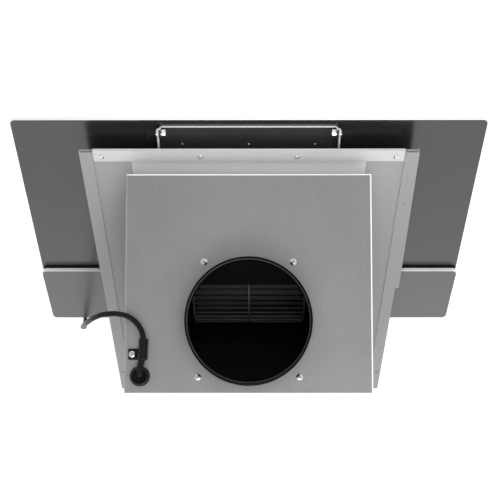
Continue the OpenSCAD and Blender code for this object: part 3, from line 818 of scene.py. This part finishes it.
DUCT_LOW, DUCT_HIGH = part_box("duct_collar")
DUCT_AT = (DUCT_LOW.x + DUCT_HIGH.x) / 2
DUCT_Y = -0.085
DUCT_R = 0.075
DUCT_BORE = 0.0731
DUCT_TOP = DUCT_HIGH.z
DUCT_FOOT = DUCT_LOW.z
DUCT_SIDES = 160
BEAD_R = 0.0013
BEAD_TOP = DUCT_TOP - 0.0056
FLANGE_R = 0.098
FLANGE_T = 0.0036
COLLAR_PLACE = Matrix.Translation((DUCT_AT, DUCT_Y, 0))


def flange_reach(angle):
    """The flange is a disc cut straight at the front and at the back."""
    back = DUCT_HIGH.y - DUCT_Y
    front = DUCT_Y - DUCT_LOW.y
    rise = math.sin(angle)
    if rise > 0:
        return min(FLANGE_R, back / max(rise, 0.01))
    return min(FLANGE_R, front / max(-rise, 0.01))


def on_bead(face):
    """The faces on the top of the bead inside the collar."""
    return face.normal.z > 0.25 and BEAD_TOP - 0.0016 < face.center.z < BEAD_TOP + 0.0002


def make_collar_tube():
    """Moulded tube with a thin rounded rim and a bead inside."""
    bead = [(DUCT_BORE, BEAD_TOP)]
    for i in range(1, 10):
        a = math.pi * i / 10
        bead.append((DUCT_BORE - BEAD_R * math.sin(a), BEAD_TOP - BEAD_R * (1 - math.cos(a))))
    profile = [(DUCT_R, DUCT_FOOT), (DUCT_R, DUCT_TOP - 0.0012), (DUCT_R - 0.0002, DUCT_TOP - 0.0004),
               (DUCT_R - 0.0007, DUCT_TOP), (DUCT_R - 0.0011, DUCT_TOP - 0.0003),
               (DUCT_R - 0.0014, DUCT_TOP - 0.0010), (DUCT_BORE + 0.0001, DUCT_TOP - 0.0040)]
    profile += bead + [(DUCT_BORE, DUCT_TOP - 0.0084), (DUCT_BORE - 0.0001, DUCT_FOOT)]
    tube = add_piece("collar_tube", mesh_of("collar_tube", *lathe(profile, DUCT_SIDES, COLLAR_PLACE)),
                     "hood", ["deep_black"], ["duct_collar"])
    # The top faces of the bead get a lighter, glossier plastic than the tube: a painted highlight.
    paint_faces(tube, "bead_highlight_plastic", on_bead)
    soften(tube, 0, angle=50)


def make_collar_flange():
    """Flat flange round the foot of the collar."""
    points, faces = [], []
    for i in range(DUCT_SIDES):
        a = 2 * math.pi * i / DUCT_SIDES
        for r in (DUCT_R - 0.0004, flange_reach(a)):
            for z in (DUCT_FOOT, DUCT_FOOT + FLANGE_T):
                points.append(COLLAR_PLACE @ Vector((r * math.cos(a), r * math.sin(a), z)))
    for i in range(DUCT_SIDES):
        j = (i + 1) % DUCT_SIDES
        a, b = 4 * i, 4 * j
        faces += [[a, b, b + 2, a + 2], [a + 2, b + 2, b + 3, a + 3], [a + 3, b + 3, b + 1, a + 1],
                  [a + 1, b + 1, b, a]]
    flange = add_piece("collar_flange", mesh_of("collar_flange", points, faces), "hood",
                       ["black_plastic"])
    soften(flange, 0.0004, angle=30)


make_collar_tube()
make_collar_flange()

# ---- fan ----

FAN_LOW, FAN_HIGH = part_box("impeller")
FAN_Y = (FAN_LOW.y + FAN_HIGH.y) / 2
FAN_Z = (FAN_LOW.z + FAN_HIGH.z) / 2
FAN_HALF = FAN_HIGH.x
FAN_R = FAN_HIGH.z - FAN_Z
SHAFT_R = 0.004
BLADES = 40
BLADE_DEPTH = 0.0085
BLADE_LEAN = math.radians(44)
BLADE_CURL = math.radians(20)
BLADE_T = 0.0011
BLADE_INSET = 0.0008
BLADE_END = 0.0006
DISC_GRIP = 0.0009
RING_HALF = 0.0011
RING_EDGE = 0.0003
FAN_RIBS = 8
RIB_HALF = 0.0006
MOTOR_END = -0.066


def blade_outline():
    """Section of a forward-curved blade, from the drum's skin inward: (radial, sideways) pairs."""
    outer, inner = [], []
    for i in range(7):
        t = i / 6
        lean = BLADE_LEAN + BLADE_CURL * (0.5 - t)
        along = -BLADE_DEPTH * t
        side = -BLADE_DEPTH * t * math.tan(BLADE_LEAN) + 0.0014 * math.sin(math.pi * t)
        half = BLADE_T / 2 * (0.7 + 0.5 * math.sin(math.pi * t))
        outer.append((along - half * math.sin(lean), side + half * math.cos(lean)))
        inner.append((along + half * math.sin(lean), side - half * math.cos(lean)))
    return outer + inner[::-1]


def fan_blades(centre):
    """A row of blades on each side of the mid disc."""
    parts = []
    section = blade_outline()
    for i in range(BLADES):
        turn = Matrix.Rotation(2 * math.pi * i / BLADES, 4, "Z")
        place = centre @ turn @ Matrix.Translation((FAN_R - BLADE_INSET, 0, 0))
        for z0, z1 in ((-FAN_HALF + BLADE_END, -DISC_GRIP), (DISC_GRIP, FAN_HALF - BLADE_END)):
            parts.append(prism(section, place, z0, z1))
    return parts


def fan_end_ring(centre, z):
    """Ring round the ends of the blades, with its outer edges broken."""
    lip = FAN_R - BLADE_DEPTH + 0.001
    edge = RING_HALF - RING_EDGE
    return lathe([(lip, z - RING_HALF), (FAN_R - RING_EDGE, z - RING_HALF), (FAN_R, z - edge),
                  (FAN_R, z + edge), (FAN_R - RING_EDGE, z + RING_HALF), (lip, z + RING_HALF)],
                 120, centre)


def fan_disc(centre):
    """Mid disc with its hub on one side."""
    return lathe([(SHAFT_R, -0.0012), (0.0105, -0.0012), (FAN_R - 0.0006, -0.0012), (FAN_R, -0.0008),
                  (FAN_R, 0.0008), (FAN_R - 0.0006, 0.0012), (0.0125, 0.0012), (0.0118, 0.0022),
                  (0.0112, 0.0142), (0.0104, 0.0148), (SHAFT_R, 0.0148)], 120, centre)


def fan_ribs(centre):
    """Tapered ribs from the hub out along the disc."""
    parts = []
    rib = [(0.011, 0.0011), (0.040, 0.0011), (0.038, 0.0024), (0.011, 0.0105)]
    for i in range(FAN_RIBS):
        turn = Matrix.Rotation(2 * math.pi * i / FAN_RIBS, 4, "Z")
        spin = centre @ turn @ Matrix.Rotation(math.radians(90), 4, "X")
        parts.append(prism(rib, spin, -RIB_HALF, RIB_HALF))
    return parts


def make_fan():
    """Double squirrel-cage impeller: curved blades, end rings, mid disc, hub and ribs."""
    centre = Matrix.Translation((0, FAN_Y, FAN_Z)) @ Matrix.Rotation(math.radians(90), 4, "Y")
    parts = fan_blades(centre)
    for side in (-1, 1):
        parts.append(fan_end_ring(centre, side * (FAN_HALF - 0.0012)))
    parts.append(fan_disc(centre))
    parts += fan_ribs(centre)
    piece = add_piece("fan_wheel", joined("fan_wheel", parts), "fan", ["fan_plastic"],
                      ["impeller"])
    return soften(piece, 0, angle=30)


def make_motor():
    """Motor can with a waist, cooling ribs round it and stepped end bells."""
    place = Matrix.Translation((MOTOR_END, FAN_Y, FAN_Z)) @ Matrix.Rotation(math.radians(90), 4, "Y")
    profile = [(0.0092, -0.0050), (0.0145, -0.0050), (0.0150, -0.0045), (0.0152, 0.0), (0.0290, 0.0002),
               (0.0325, 0.0016), (0.0336, 0.0040), (0.0336, 0.0080)]
    for i in range(9):
        z = 0.0095 + i * 0.0036
        profile += [(0.0326, z), (0.0326, z + 0.0014), (0.0339, z + 0.0018), (0.0339, z + 0.0030)]
    profile += [(0.0336, 0.0430), (0.0336, 0.0462), (0.0325, 0.0485), (0.0290, 0.0498), (0.0152, 0.0500),
                (0.0150, 0.0545), (0.0145, 0.0550), (0.0092, 0.0550), (0.0092, 0.0500), (0.0046, 0.0500),
                (0.0046, 0.0), (0.0092, 0.0)]
    motor = add_piece("motor_can", mesh_of("motor_can", *lathe(profile, 96, place)), "hood",
                      ["motor_iron"], ["motor_body"])
    soften(motor, 0, angle=28)


make_fan()
make_motor()

# ---- floor and light ----

FLOOR_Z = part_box("cord_coil")[0].z
FLOOR_HALF = 6.0

# The studio as (height, brightness) stops from the walls up, and how much the light falls off to +X
SKY_STOPS = [(0.0, 0.95), (0.3, 0.92), (0.65, 0.52), (1.0, 0.30)]
SKY_LEAN = -0.12


def make_floor():
    mesh = mesh_of("floor", [(sx * FLOOR_HALF, sy * FLOOR_HALF, FLOOR_Z) for sx, sy in
                             ((-1, -1), (1, -1), (1, 1), (-1, 1))], [[0, 1, 2, 3]])
    material, _, _, shader = principled("floor_paper", (0.93, 0.93, 0.93), 0.0, 0.9)
    shader.inputs["Specular IOR Level"].default_value = 0.1
    shader.inputs["Emission Color"].default_value = (1, 1, 1, 1)
    shader.inputs["Emission Strength"].default_value = 0.6
    mesh.materials.append(material)
    floor = bpy.data.objects.new("floor", mesh)
    bpy.context.scene.collection.objects.link(floor)


def make_world():
    """A soft studio: bright walls, a dimmer ceiling."""
    world = bpy.data.worlds.new("studio")
    bpy.context.scene.world = world
    world.use_nodes = True
    nodes, links = world.node_tree.nodes, world.node_tree.links
    place = nodes.new("ShaderNodeTexCoord")
    split = nodes.new("ShaderNodeSeparateXYZ")
    ramp = nodes.new("ShaderNodeValToRGB")
    links.new(place.outputs["Generated"], split.inputs[0])
    links.new(split.outputs["Z"], ramp.inputs["Fac"])
    elements = ramp.color_ramp.elements
    while len(elements) < len(SKY_STOPS):
        elements.new(0.5)
    for element, (at, level) in zip(elements, SKY_STOPS):
        element.position = at
        element.color = (level, level, level, 1)
    links.new(ramp.outputs["Color"], nodes["Background"].inputs["Color"])
    lean = nodes.new("ShaderNodeMath")
    lean.operation = "MULTIPLY_ADD"
    lean.inputs[1].default_value = SKY_LEAN
    lean.inputs[2].default_value = 1.0
    links.new(split.outputs["X"], lean.inputs[0])
    links.new(lean.outputs[0], nodes["Background"].inputs["Strength"])


def area_light(name, place, target, size, power, mirrored):
    data = bpy.data.lights.new(name, "AREA")
    data.shape = "RECTANGLE"
    data.size, data.size_y = size
    data.energy = power
    lamp = bpy.data.objects.new(name, data)
    lamp.location = place
    lamp.visible_camera = False
    lamp.visible_glossy = mirrored
    lamp.rotation_mode = "QUATERNION"
    lamp.rotation_quaternion = (Vector(target) - Vector(place)).to_track_quat("-Z", "Y")
    bpy.context.scene.collection.objects.link(lamp)


make_floor()
make_world()
area_light("key", (-0.10, -0.24, 0.75), (0, -0.26, 0), (0.8, 0.3), 3.6, False)
area_light("back", (-0.1, 0.62, 0.95), (0, -0.22, 0), (1.0, 0.45), 5, True)
bpy.context.scene.view_settings.view_transform = "Standard"
